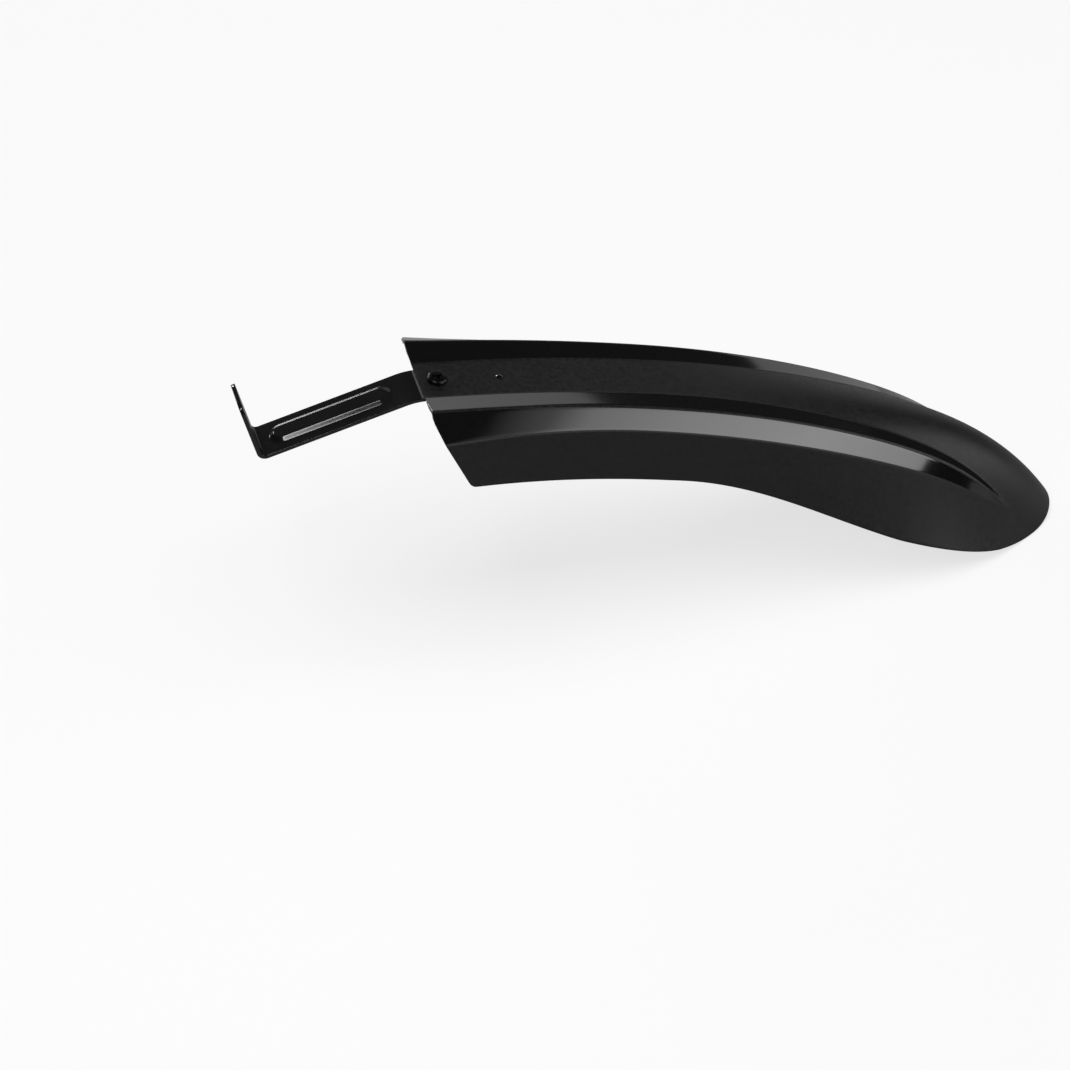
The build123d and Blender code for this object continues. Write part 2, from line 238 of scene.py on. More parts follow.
class StrapSettings(PropertyGroup):
    """Sizes and finish of the bent steel strap."""

    reach: size("Reach", 0.077, "From the tab's inner face to the bend")
    bend: angle("Bend", 22.5, "Fall of the lap from the strap")
    bend_radius: size("Bend radius", 0.030, "Upper face of the bend")
    setback: size("Setback", 0.0023, "From the bend's corner to the blade's front edge")
    lap: size("Lap", 0.022, "Length under the blade")
    end_radius: size("End corners", 0.006, "Rounding of the lap's corners")
    tab_height: size("Tab height", 0.032, "Above the strap's upper face")
    tab_bend_radius: size("Tab bend radius", 0.0025, "Inner face of the tab's bend")
    tab_corner_radius: size("Tab corners", 0.005, "Rounding of the tab's corners")
    hole_height: size("Fork hole height", 0.018, "Above the strap's upper face")
    bead_length: size("Bead length", 0.0605, "Pressed bead, end to end")
    bead_width: size("Bead width", 0.0126, "Pressed bead, across its foot")
    bead_height: size("Bead height", 0.002, "Pressed bead above the strap's face")
    bead_taper: angle("Bead taper", 49, "Lean of the bead's walls")
    bead_to_tab: size("Bead to tab", 0.0062, "From the tab's inner face to the bead")
    bead_soft: size("Bead softness", 0.0005, "Rounding at the bead's foot and crest")
    rim_round: size("Rim rounding", 0.0003, "Broken edges of the strip")
    colour: colour("Paint", (0.006, 0.006, 0.0065), "Gloss black paint")
    roughness: level("Roughness", 0.13, "Mean roughness of the paint")
    ior: level("Refractive index", 1.52, "How strongly the paint mirrors")
    peel: size("Peel", 0.0016, "Size of the paint's waves")
    peel_height: size("Peel height", 0.0000022, "Height of the paint's waves")


class FastenerSettings(PropertyGroup):
    """Sizes and finish of the screw, washer and nut."""

    place: size("Place", 0.0095, "From the blade's front edge to the screw")
    diameter: size("Diameter", 0.005, "Outside of the screw's thread")
    pitch: size("Pitch", 0.0008, "From thread to thread")
    length: size("Length", 0.012, "Below the head")
    tip_chamfer: size("Tip chamfer", 0.0006, "At the screw's end")
    clearance: size("Hole clearance", 0.0005, "Of the holes in blade and strap, on the diameter")
    head_diameter: size("Head diameter", 0.0098, "Pan head")
    head_height: size("Head height", 0.0025, "Pan head")
    head_rim: size("Head rim", 0.0008, "Straight rim below the pan head's round")
    recess_length: size("Recess length", 0.0052, "Cross recess, end to end")
    recess_width: size("Recess width", 0.0012, "Cross recess, across an arm")
    recess_depth: size("Recess depth", 0.0015, "Cross recess")
    washer_diameter: size("Washer diameter", 0.010, "Outside")
    washer_bore: size("Washer bore", 0.0053, "Inside")
    washer_thickness: size("Washer thickness", 0.001, "Flat washer")
    nut_across_flats: size("Nut across flats", 0.008, "Spanner size")
    nut_height: size("Nut height", 0.004, "Hexagon nut")
    nut_bore: size("Nut bore", 0.0051, "Inside")
    edge_round: size("Edge rounding", 0.00012, "Broken edges of washer and nut")
    screw_colour: colour("Screw colour", (0.045, 0.045, 0.048), "Black zinc")
    screw_roughness: level("Screw roughness", 0.34, "Mean roughness of the black zinc")
    zinc_colour: colour("Zinc colour", (0.56, 0.58, 0.60), "Bright zinc of washer and nut")
    zinc_roughness: level("Zinc roughness", 0.28, "Mean roughness of the bright zinc")


class StageSettings(PropertyGroup):
    """Camera, floor and surroundings."""

    camera_place: FloatVectorProperty(
        name="Camera place",
        description="Where the camera stands",
        default=(-0.3928, -1.6634, 1.3708),
        size=3,
        subtype="TRANSLATION",
        unit="LENGTH",
    )
    camera_turn: angle("Camera turn", -17.966, "About the vertical, from looking along Y")
    camera_dip: angle("Camera dip", 39.980, "Below the horizon")
    camera_roll: angle("Camera roll", 4.458, "About the line of sight")
    lens: level("Lens", 158.62, "Focal length, in millimetres on the sensor")
    floor_gap: size("Floor gap", 0.0005, "Floor below the lowest point")
    floor_radius: size("Floor radius", 1.3, "To the edge of the floor")
    floor_colour: colour("Floor colour", (0.86, 0.86, 0.86), "Matt board, as the camera sees it")
    floor_mirrored: level("Floor mirrored", 0.33, "Share of the floor's colour that the object mirrors")
    lift: level("Floor lift", 0.72, "Share of plain white in what the camera sees of the floor")
    mirror_lift: level("Mirrored lift", 0.012, "Share of plain white that gloss mirrors round the object")
    sky: level("Surroundings", 0.010, "Brightness of the dark room, which the camera sees as white")


def lamp_settings(name, brightness, turn, rise, distance, width, height, roll=0.0):
    """A group of settings for one lamp: its place, its size and the brightness of its face."""
    fields = {
        "level": level("Level", brightness, "Brightness of the lamp's face"),
        "turn": angle("Turn", turn, "From looking along Y, to the right of the camera"),
        "rise": angle("Rise", rise, "Above the horizon"),
        "roll": angle("Roll", roll, "Slope of the lamp's upper edge"),
        "distance": size("Distance", distance, "From what the lamp is aimed at"),
        "width": size("Width", width, "Across the lamp's face"),
        "height": size("Height", height, "Up the lamp's face"),
    }
    return type(name, (PropertyGroup,), {"__annotations__": fields})


LAMPS = {
    # Tall softbox on the tail's side of the camera
    "key_softbox": lamp_settings(
        "KeySettings", brightness=3.0, turn=46, rise=33, distance=2.2, width=0.7, height=2.24
    ),
    # Small softbox above the camera
    "strip_softbox": lamp_settings(
        "StripSettings", brightness=12.0, turn=-31, rise=52, distance=0.8, width=0.12, height=0.30
    ),
    # Upright lamp behind the strap
    "rim_lamp": lamp_settings(
        "RimSettings", brightness=12.0, turn=187, rise=15, distance=2.5, width=0.3, height=0.9
    ),
    # Lamp that draws the blade's front edge
    "edge_lamp": lamp_settings(
        "EdgeSettings", brightness=6.0, turn=215, rise=12, distance=2.5, width=0.6, height=0.8
    ),
    # White sheet behind the blade
    "back_sheet": lamp_settings(
        "BackSettings", brightness=0.41, turn=154, rise=9.5, distance=3.0, width=2.1, height=1.30, roll=15
    ),
    # Panel at the tail's end
    "side_panel": lamp_settings(
        "SideSettings", brightness=1.5, turn=87, rise=22, distance=2.4, width=1.25, height=1.5
    ),
    # Wide sheet overhead, which gloss doesn't mirror
    "top_sheet": lamp_settings(
        "TopSettings", brightness=3.0, turn=0, rise=90, distance=2.4, width=2.4, height=2.4
    ),
}


class Value:
    """A socket of a finish's node tree, used in Python arithmetic as Math nodes."""

    def __init__(self, finish, socket):
        self.finish = finish
        self.socket = socket

    def maths(self, operation, first, second):
        return self.finish.node("ShaderNodeMath", {"operation": operation}, {0: first, 1: second})

    def __add__(self, other):
        return self.maths("ADD", self, other)

    def __radd__(self, other):
        return self.maths("ADD", other, self)

    def __sub__(self, other):
        return self.maths("SUBTRACT", self, other)

    def __rsub__(self, other):
        return self.maths("SUBTRACT", other, self)

    def __mul__(self, other):
        return self.maths("MULTIPLY", self, other)

    def __rmul__(self, other):
        return self.maths("MULTIPLY", other, self)

    def __pow__(self, other):
        return self.maths("POWER", self, other)

    def __rpow__(self, other):
        return self.maths("POWER", other, self)


class Finish:
    """A node tree under construction, of a material, a lamp or the world."""

    def __init__(self, owner):
        owner.use_nodes = True
        self.tree = owner.node_tree
        self.tree.nodes.clear()

    def node(self, kind, settings=None, sockets=None, output=0):
        """Adds a node: its settings come first, then the values or links of its sockets."""
        made = self.tree.nodes.new(kind)
        for name, value in (settings or {}).items():
            if name == "stops":
                self.set_stops(made.color_ramp, value)
            else:
                setattr(made, name, value)
        for name, value in (sockets or {}).items():
            if isinstance(value, Value):
                self.tree.links.new(value.socket, made.inputs[name])
            else:
                made.inputs[name].default_value = value
        if not made.outputs:
            return None
        return Value(self, made.outputs[output])

    @staticmethod
    def set_stops(ramp, stops):
        """Gives a colour ramp its stops, as pairs of place and grey."""
        while len(ramp.elements) < len(stops):
            ramp.elements.new(1.0)
        for element, (place, grey) in zip(ramp.elements, stops):
            element.position = place
            element.color = (grey, grey, grey, 1.0)

    def place(self):
        """The piece's own coordinates, in metres."""
        return self.node("ShaderNodeTexCoord", output="Object")

    def stretched(self, scale):
        """The piece's own coordinates, scaled along each axis."""
        sockets = {"Vector": self.place(), "Scale": scale}
        return self.node("ShaderNodeMapping", {"vector_type": "POINT"}, sockets)

    def noise(self, vector, scale, detail=3.0, roughness=0.5):
        """Even noise from 0 to 1."""
        sockets = {"Vector": vector, "Scale": scale, "Detail": detail, "Roughness": roughness}
        return self.node("ShaderNodeTexNoise", {"noise_dimensions": "3D"}, sockets)

    def between(self, share, first, second):
        """A colour between two colours, by number, because the Mix node's sockets share their names."""
        settings = {"data_type": "RGBA", "blend_type": "MIX"}
        sockets = {"Factor": share, 6: (*first, 1.0), 7: (*second, 1.0)}
        return self.node("ShaderNodeMix", settings, sockets, 2)

    def shades(self, share, shade, darkest, lightest):
        """A colour between a darker and a lighter tone of one shade."""
        return self.between(share, toned(shade, darkest), toned(shade, lightest))

    def bump(self, height, distance, under=None):
        """A normal for relief of this depth, laid on top of another relief."""
        sockets = {"Height": height, "Distance": distance, "Strength": 1.0}
        if under is not None:
            sockets["Normal"] = under
        return self.node("ShaderNodeBump", None, sockets)

    def surface(self, sockets):
        """The principled surface of a material."""
        shader = self.node("ShaderNodeBsdfPrincipled", None, sockets)
        self.node("ShaderNodeOutputMaterial", None, {"Surface": shader})


def toned(shade, factor):
    """The same colour, lighter or darker."""
    return tuple(min(channel * factor, 1.0) for channel in shade)


def varied(mean, *swings):
    """A value that each pattern swings about its mean, by an amount of its own."""
    for pattern, swing in swings:
        mean = mean + swing * (pattern - 0.5)
    return mean


def moulded_plastic(settings):
    """Black plastic: grained satin faces, polished bands, slow changes of gloss and faint flow lines."""
    material = bpy.data.materials.new("moulded_plastic")
    finish = Finish(material)
    polish = finish.node("ShaderNodeAttribute", {"attribute_name": POLISH}, output="Fac")
    cloud = finish.noise(finish.place(), PLASTIC_CLOUD, detail=4.0)
    flow = finish.noise(finish.stretched(PLASTIC_FLOW), 1.0, detail=5.0, roughness=0.6)
    grain = finish.noise(finish.place(), 1 / settings.grain, detail=2.0)
    speck = varied(0.5, (finish.noise(finish.place(), PLASTIC_SPECK, detail=2.0), SPECK_CONTRAST))
    mottle = 0.35 * cloud + 0.20 * flow + 0.45 * speck
    pigment = mottle * (1 - (1 - POLISHED_PIGMENT) * polish)
    satin = varied(settings.satin, (cloud, 0.08), (grain, 0.10), (speck, 0.10))
    gloss = varied(settings.polish, (cloud, 0.03), (flow, 0.04))
    relief = finish.bump(grain * (1 - polish), settings.grain_height)
    relief = finish.bump(flow, settings.grain_height * FLOW_SHARE, relief)
    finish.surface({
        "Base Color": finish.shades(pigment, settings.colour, darkest=0.3, lightest=1.7),
        "Roughness": satin + (gloss - satin) * polish,
        "Normal": relief,
        "IOR": settings.ior,
        "Coat Weight": polish,
        "Coat Roughness": settings.polish,
    })
    return material


def gloss_paint(settings):
    """Black enamel on steel: soft waves, dust under the paint and slow changes of gloss."""
    material = bpy.data.materials.new("gloss_paint")
    finish = Finish(material)
    cloud = finish.noise(finish.place(), PAINT_CLOUD, detail=4.0)
    peel = finish.noise(finish.place(), 1 / settings.peel, detail=1.0)
    dust = finish.noise(finish.place(), PAINT_DUST, detail=0.0)
    nib = finish.node("ShaderNodeValToRGB", {"stops": DUST_STOPS}, {"Fac": dust})
    relief = finish.bump(peel, settings.peel_height)
    relief = finish.bump(nib, settings.peel_height * DUST_SHARE, relief)
    finish.surface({
        "Base Color": finish.shades(cloud, settings.colour, darkest=0.7, lightest=1.6),
        "Roughness": varied(settings.roughness, (cloud, 0.06)) + 0.10 * nib,
        "Normal": relief,
        "IOR": settings.ior,
    })
    return material


def turned_metal(name, shade, roughness, tint):
    """Plated steel: rings left by turning, tinted clouds in the plating and fine scratches."""
    material = bpy.data.materials.new(name)
    finish = Finish(material)
    x = finish.node("ShaderNodeSeparateXYZ", None, {"Vector": finish.place()}, "X")
    y = finish.node("ShaderNodeSeparateXYZ", None, {"Vector": finish.place()}, "Y")
    from_axis = (x * x + y * y) ** 0.5
    rings = finish.node("ShaderNodeMath", {"operation": "SINE"}, {0: from_axis * METAL_RINGS})
    cloud = finish.noise(finish.place(), METAL_CLOUD, detail=4.0)
    scratch = finish.noise(finish.stretched(METAL_SCRATCH), 1.0, detail=3.0, roughness=0.7)
    tinted = tuple(channel * share for channel, share in zip(toned(shade, 1.2), tint))
    relief = finish.bump(rings * 0.5 + 0.5, RING_HEIGHT)
    relief = finish.bump(scratch, SCRATCH_HEIGHT, relief)
    finish.surface({
        "Base Color": finish.between(cloud, toned(shade, 0.75), tinted),
        "Roughness": varied(roughness, (cloud, 0.12), (scratch, 0.10)),
        "Metallic": 1.0,
        "Normal": relief,
    })
    return material


def white_to_camera(finish, lift, mirror_lift):
    """Share of plain white: one for what the camera sees, another for what gloss mirrors."""
    camera = finish.node("ShaderNodeLightPath", output="Is Camera Ray")
    glossy = finish.node("ShaderNodeLightPath", output="Is Glossy Ray")
    through = finish.node("ShaderNodeLightPath", output="Is Transmission Ray")
    return (camera + through) * lift + glossy * mirror_lift


def floor_board(settings):
    """Matt board that keeps shadows, fades out to its edge and is open to a camera below it."""
    material = bpy.data.materials.new("floor_board")
    finish = Finish(material)
    mottle = finish.noise(finish.place(), FLOOR_CLOUD, detail=2.0)
    camera = finish.node("ShaderNodeLightPath", output="Is Camera Ray")
    dim = toned(settings.floor_colour, settings.floor_mirrored)
    tone = finish.between(camera * (1 - FLOOR_MOTTLE + FLOOR_MOTTLE * mottle), dim, settings.floor_colour)
    board = finish.node("ShaderNodeBsdfDiffuse", None, {"Color": tone})
    white = finish.node("ShaderNodeEmission", None, {"Color": WHITE, "Strength": 1.0})
    from_middle = finish.node("ShaderNodeVectorMath", {"operation": "LENGTH"}, {0: finish.place()}, "Value")
    edge = finish.node(
        "ShaderNodeMapRange",
        {"interpolation_type": "SMOOTHSTEP"},
        {
            "Value": from_middle,
            "From Min": settings.floor_radius * FLOOR_FADE,
            "From Max": settings.floor_radius,
        },
    )
    seen = white_to_camera(finish, settings.lift + (1 - settings.lift) * edge, settings.mirror_lift)
    lit = finish.node("ShaderNodeMixShader", None, {0: seen, 1: board, 2: white})
    clear = finish.node("ShaderNodeBsdfTransparent")
    behind = finish.node("ShaderNodeNewGeometry", output="Backfacing")
    shown = finish.node("ShaderNodeMixShader", None, {0: behind * camera, 1: lit, 2: clear})
    finish.node("ShaderNodeOutputMaterial", None, {"Surface": shown})
    return material


def dark_room(settings):
    """Dark surroundings that the camera sees as plain white."""
    world = bpy.data.worlds.new("dark_room")
    finish = Finish(world)
    dim = finish.node("ShaderNodeBackground", None, {"Color": WHITE, "Strength": settings.sky})
    bright = finish.node("ShaderNodeBackground", None, {"Color": WHITE, "Strength": 1.0})
    seen = white_to_camera(finish, 1.0, settings.mirror_lift)
    shown = finish.node("ShaderNodeMixShader", None, {0: seen, 1: dim, 2: bright})
    finish.node("ShaderNodeOutputWorld", None, {"Surface": shown})
    return world


def strap_place():
    """From the strap's frame, level with its tab upright, to the part's frame."""
    return Matrix.Rotation(-FORK_LEAN, 4, "Y")


def blade_place(blade, strap):
    """From the blade's frame, its front edge on the channel floor, to the part's frame."""
    along_x, along_z = math.cos(strap.bend), -math.sin(strap.bend)
    origin = Vector((
        STRAP_THICKNESS + strap.reach + strap.setback * along_x - blade.wall * along_z,
        0.0,
        -strap.hole_height + strap.setback * along_z + blade.wall * along_x,
    ))
    return strap_place() @ Matrix.Translation(origin) @ Matrix.Rotation(strap.bend, 4, "Y")


def smooth(share):
    """A soft step from 0 to 1."""
    share = np.clip(share, 0.0, 1.0)
    return share * share * (3 - 2 * share)


class BladeForm:
    """Points of the blade's outer and inner faces, by place along its top line and round its section."""

    def __init__(self, blade):
        self.blade = blade
        self.curl_start = blade.length - blade.curl_before_tip
        self.curl_end = blade.length - blade.full_curl_before_tip
        self.runout = blade.length - blade.runout_before_tip
        self.crown_end = blade.length - blade.crown_before_tip
        self.edge_tail = blade.length - blade.edge_tail_before_tip
        self.nose = blade.length - blade.nose_before_tip
        self.nose_corner = blade.length - blade.nose_corner_before_tip
        self.corner_at = float(self.edge_depth(0.0)) * math.tan(blade.rake_angle)
        self.corner_depth = float(self.edge_depth(self.corner_at))
        self.rake_slope = self.corner_at / self.corner_depth

        steps = math.ceil(blade.length / LINE_STEP)
        self.places = np.linspace(0.0, blade.length, steps + 1)
        middles = (self.places[1:] + self.places[:-1]) / 2
        lengths = np.diff(self.places)
        falls = self.fall(middles)
        self.line_x = np.concatenate([[0.0], np.cumsum(lengths * np.cos(falls))])
        self.line_z = np.concatenate([[0.0], np.cumsum(-lengths * np.sin(falls))])

    def fall(self, at):
        """Fall of the top line: none on the seat, then an arch that tightens to the tail."""
        blade = self.blade
        span = self.curl_end - self.curl_start
        share = np.clip((at - self.curl_start) / span, 0.0, 1.0)
        curled = span * (share**3 - share**4 / 2) + np.maximum(at - self.curl_end, 0.0)
        arched = np.maximum(at - blade.seat_length, 0.0) / blade.arch_radius
        return arched + curled * (1 / blade.tail_radius - 1 / blade.arch_radius)

    def through_waist(self, at, front, waist, tail, power=WAIST_POWER):
        """A size that runs smoothly from the front edge through the waist to the ridges' run-out."""
        start = self.blade.waist_at
        before = (front - waist) * np.maximum(1 - at / start, 0.0) ** WAIST_POWER
        after = (tail - waist) * np.clip((at - start) / (self.runout - start), 0.0, 1.0) ** power
        return waist + before + after

    def edge_depth(self, at):
        """Depth of the lower edge: it closes on the top line at the tip as a superellipse does."""
        blade = self.blade
        front = np.maximum(1 - at / blade.edge_waist_at, 0.0) ** WAIST_POWER
        tail = smooth((at - blade.edge_waist_at) / (self.edge_tail - blade.edge_waist_at))
        full = blade.edge_depth_waist
        full = full + (blade.edge_depth_front - blade.edge_depth_waist) * front
        full = full + (blade.edge_depth_tail - blade.edge_depth_waist) * tail
        share = np.clip((at - self.nose) / (blade.length - self.nose), 0.0, 1.0)
        return full * (1 - share**NOSE_POWER) ** (1 / NOSE_POWER)

    def corners(self, at, inner):
        """Three corners of the half section, the falls between them, and the height of its apex."""
        blade = self.blade
        channel = self.through_waist(
            at, blade.channel_half, blade.channel_half, blade.ridge_half_waist - blade.crease_strip
        )
        ridge = self.through_waist(
            at, blade.ridge_half_front, blade.ridge_half_waist, blade.ridge_half_waist
        )
        arch = smooth((at - blade.crown_start) / (self.crown_end - blade.crown_start)) / blade.crown_radius
        drop = arch * channel**2 / 2
        run = np.clip(at / self.runout, 0.0, 1.0)
        merged = run**MERGE_POWER

        crown_fall = np.arctan(arch * channel)
        rise = blade.ridge_height * (1 - at / blade.ridge_level_at) * (1 - run)
        riser_fall = np.arctan2(-rise, ridge - channel)
        riser_fall = riser_fall + (crown_fall - riser_fall) * merged
        flange_fall = self.through_waist(
            at, blade.flange_angle_front, blade.flange_angle_waist, blade.flange_angle_tail
        )
        shoulder_turn = blade.shoulder_angle_tail - blade.shoulder_angle_front
        shoulder_fall = blade.shoulder_angle_tail - shoulder_turn * (1 - run) ** 2
        shoulder_fall = shoulder_fall + (flange_fall - shoulder_fall) * merged
        shoulder = self.through_waist(
            at, blade.shoulder_front, blade.shoulder_waist, blade.crease_strip, SHOULDER_POWER
        )

        ridge_drop = drop + (ridge - channel) * np.tan(riser_fall)
        points = [
            np.array([channel, -drop]),
            np.array([ridge, -ridge_drop]),
            np.array([
                ridge + shoulder * np.cos(shoulder_fall),
                -ridge_drop - shoulder * np.sin(shoulder_fall),
            ]),
        ]
        falls = [crown_fall, riser_fall, shoulder_fall, flange_fall]
        if not inner:
            return points, falls, 0.0
        moved = []
        for point, before, after in zip(points, falls, falls[1:]):
            middle = (before + after) / 2
            reach = blade.wall / np.cos((after - before) / 2)
            moved.append(point - reach * np.array([np.sin(middle), np.cos(middle)]))
        return moved, falls, -blade.wall

    def on_flange(self, at, depth, inner):
        """Point of the flange at a depth below the top line."""
        points, falls, _ = self.corners(at, inner)
        edge = points[2]
        return np.array([edge[0] + (depth + edge[1]) / np.tan(falls[3]), -depth])

    def point(self, at, piece, share, inner):
        """Point of one piece of the half section, at a share of the way across that piece."""
        points, falls, apex = self.corners(at, inner)
        ways = [np.array([np.cos(fall), -np.sin(fall)]) for fall in falls]
        riser = np.hypot(*(points[1] - points[0]))
        shoulder = np.hypot(*(points[2] - points[1]))
        full = self.blade.crease_reach
        reaches = [
            np.minimum(full, BEND_SHARE * riser),
            np.minimum(full, BEND_SHARE * np.minimum(riser, shoulder)),
            np.minimum(full, BEND_SHARE * shoulder),
        ]
        starts = [corner - reach * way for corner, reach, way in zip(points, reaches, ways)]
        ends = [corner + reach * way for corner, reach, way in zip(points, reaches, ways[1:])]
        starts[0][1] = apex + (points[0][1] - apex) * (starts[0][0] / points[0][0]) ** 2
        if piece == CROWN:
            across = share * starts[0][0]
            return np.array([across, apex + (points[0][1] - apex) * (across / points[0][0]) ** 2])
        if piece in BENDS:
            bend = piece // 2
            first = starts[bend] + (points[bend] - starts[bend]) * share
            second = points[bend] + (ends[bend] - points[bend]) * share
            return first + (second - first) * share
        if piece != FLANGE:
            run = piece // 2
            return ends[run - 1] + (starts[run] - ends[run - 1]) * share
        depth = -ends[2][1]
        last = self.edge_depth(np.minimum(at, self.nose_corner))
        return self.on_flange(at, depth + (last - depth) * share, inner)

    def placed(self, at, across, up):
        """Points in the blade's frame, from places along the top line and points of the section there."""
        fall = self.fall(at)
        x = np.interp(at, self.places, self.line_x)
        z = np.interp(at, self.places, self.line_z)
        return np.stack([x + up * np.sin(fall), across, z + up * np.cos(fall)], axis=-1)

    def front_start(self, piece, share, inner):
        """Where a line along the blade starts on the raked front edge."""
        at = 0.0
        for _ in range(RAKE_TRIES):
            at = max(-float(self.point(at, piece, share, inner)[1]), 0.0) * self.rake_slope
        return at

    def nose_end(self, piece, share, inner):
        """Where a line along the blade ends on the nose."""
        low, high = self.nose_corner, self.blade.length
        for _ in range(NOSE_TRIES):
            middle = (low + high) / 2
            if self.edge_depth(middle) + self.point(middle, piece, share, inner)[1] > 0:
                low = middle
            else:
                high = middle
        return low

    def round_rake_corner(self, at, depth):
        """Draws points near the flange's front corner in to its rounding, towards the round's centre."""
        radius = self.blade.rake_corner_radius
        corner = np.array([self.corner_at, self.corner_depth])
        ahead = float(self.edge_depth(self.corner_at + radius))
        ways = [-corner, np.array([radius, ahead - self.corner_depth])]
        ways = [way / np.hypot(*way) for way in ways]
        half = math.acos(float(np.dot(*ways))) / 2
        middle = (ways[0] + ways[1]) / np.hypot(*(ways[0] + ways[1]))
        centre = corner + middle * radius / math.sin(half)
        outs = [(corner + way * radius / math.tan(half) - centre) / radius for way in ways]
        x, y = at - centre[0], depth - centre[1]
        turn = outs[0][0] * outs[1][1] - outs[0][1] * outs[1][0]
        first = (x * outs[1][1] - y * outs[1][0]) / turn
        second = (outs[0][0] * y - outs[0][1] * x) / turn
        reach = np.maximum(x * outs[0][0] + y * outs[0][1], x * outs[1][0] + y * outs[1][1])
        scale = np.where((first > 0) & (second > 0), reach / np.maximum(np.hypot(x, y), TINY), 1.0)
        return centre[0] + x * scale, centre[1] + y * scale

    @staticmethod
    def columns():
        """Piece of the half section, and share of it, at each column from the middle to the lower edge."""
        found = [(CROWN, 0.0)]
        for piece, count in enumerate(PIECE_STEPS):
            found += [(piece, (step + 1) / count) for step in range(count)]
        return found

    def polished_faces(self):
        """How polished each face of the grid is: risers and shoulders, until their ridges run out."""
        half = [PIECE_POLISH[piece] for piece, _ in self.columns()[1:]]
        rows = np.arange(FRONT_ROWS + MIDDLE_ROWS + NOSE_ROWS - 1)
        into_nose = (rows - FRONT_ROWS - MIDDLE_ROWS) / NOSE_ROWS
        start, end = POLISH_FADE
        left = np.clip((end - into_nose) / (end - start), 0.0, 1.0)
        return np.outer(left, half[::-1] + half).ravel().tolist()

    def face(self, inner):
        """Grid of one face: rows from front edge to nose, columns from one lower edge to the other."""
        front_end = 2 * self.blade.seat_length
        half = []
        for piece, share in self.columns():
            start = self.front_start(piece, share, inner)
            end = self.nose_end(piece, share, inner)
            at = np.concatenate([
                np.linspace(start, front_end, FRONT_ROWS, endpoint=False),
                np.linspace(front_end, self.nose, MIDDLE_ROWS, endpoint=False),
                np.linspace(self.nose, end, NOSE_ROWS),
            ])
            across, up = self.point(at, piece, share, inner)
            if piece == FLANGE:
                rounded_at, rounded_depth = self.round_rake_corner(at, -up)
                near = at < self.blade.seat_length
                at = np.where(near, rounded_at, at)
                depth = np.where(near, rounded_depth, -up)
                across, up = self.on_flange(at, depth, inner)
            half.append(self.placed(at, across, up))
        half = np.stack(half, axis=1)
        return np.concatenate([half[:, :0:-1] * (1, -1, 1), half], axis=1)


def link_piece(name, mesh, place=None):
    """A new object in the scene for this mesh."""
    piece = bpy.data.objects.new(name, mesh)
    bpy.context.scene.collection.objects.link(piece)
    if place is not None:
        piece.matrix_world = place
    return piece


def finish_piece(piece, material, slot, *nodes):
    """Smooth faces with sharp edges kept, one finish, and the fixed part's body and solids."""
    piece.data.shade_smooth()
    piece.data.set_sharp_from_angle(angle=SHARP_ANGLE)
    piece.data.materials.clear()
    piece.data.materials.append(material)
    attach(piece, BODY)
    if nodes:
        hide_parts(*nodes)


def sheet_mesh(name, upper, lower, rim_round, place, polished=None):
    """A closed sheet between two grids, with a rounded rim, a place in the part and polish by face."""
    rows, columns = upper.shape[:2]
    count = rows * columns
    index = np.arange(count).reshape(rows, columns)
    corners = [index[:-1, :-1], index[1:, :-1], index[1:, 1:], index[:-1, 1:]]
    quads = np.stack(corners, axis=-1).reshape(-1, 4)
    border = np.concatenate([index[0, :-1], index[:-1, -1], index[-1, :0:-1], index[:0:-1, 0]])
    following = np.roll(border, -1)
    rim = np.stack([border, following, following + count, border + count], axis=-1)
    faces = np.concatenate([quads, quads[:, ::-1] + count, rim])
    points = np.concatenate([upper.reshape(-1, 3), lower.reshape(-1, 3)])

    mesh = bpy.data.meshes.new(name)
    mesh.from_pydata(points.tolist(), [], faces.tolist())
    work = bmesh.new()
    work.from_mesh(mesh)
    if polished is not None:
        layer = work.faces.layers.float.new(POLISH)
        for face, value in zip(work.faces, polished):
            face[layer] = value
        work.faces.ensure_lookup_table()
        for face in work.faces[2 * len(quads):]:
            face[layer] = 1.0
    work.verts.ensure_lookup_table()
    pairs = list(zip(border.tolist(), following.tolist()))
    pairs += [(first + count, second + count) for first, second in pairs]
    edges = [work.edges.get((work.verts[first], work.verts[second])) for first, second in pairs]
    bmesh.ops.bevel(work, geom=edges, offset=rim_round, segments=RIM_SEGMENTS, profile=0.5, affect="EDGES")
    bmesh.ops.recalc_face_normals(work, faces=work.faces)
    work.transform(place)
    work.to_mesh(mesh)
    work.free()
    return mesh


def turned_mesh(name, rings, closed):
    """Skin over rings of points: joined end to end if closed, and capped if not."""
    mesh = bpy.data.meshes.new(name)
    work = bmesh.new()
    loops = [[work.verts.new(point) for point in ring] for ring in rings]
    pairs = list(zip(loops, loops[1:]))
    if closed:
        pairs.append((loops[-1], loops[0]))
    else:
        work.faces.new(loops[0])
        work.faces.new(loops[-1])
    for first, second in pairs:
        for step in range(len(first)):
            after = (step + 1) % len(first)
            work.faces.new((first[step], first[after], second[after], second[step]))
    bmesh.ops.recalc_face_normals(work, faces=work.faces)
    work.to_mesh(mesh)
    work.free()
    return mesh


def turned_piece(name, rings, place, closed=False):
    """A new object for a skin over rings of points."""
    return link_piece(name, turned_mesh(name, rings, closed), place)


def ring(radius, height):
    """Points of a ring about Z, whose radius and height may be functions of its turn."""
    points = []
    for step in range(TURN_STEPS):
        turn = 2 * math.pi * step / TURN_STEPS
        reach = radius(turn) if callable(radius) else radius
        rise = height(turn) if callable(height) else height
        points.append((reach * math.cos(turn), reach * math.sin(turn), rise))
    return points


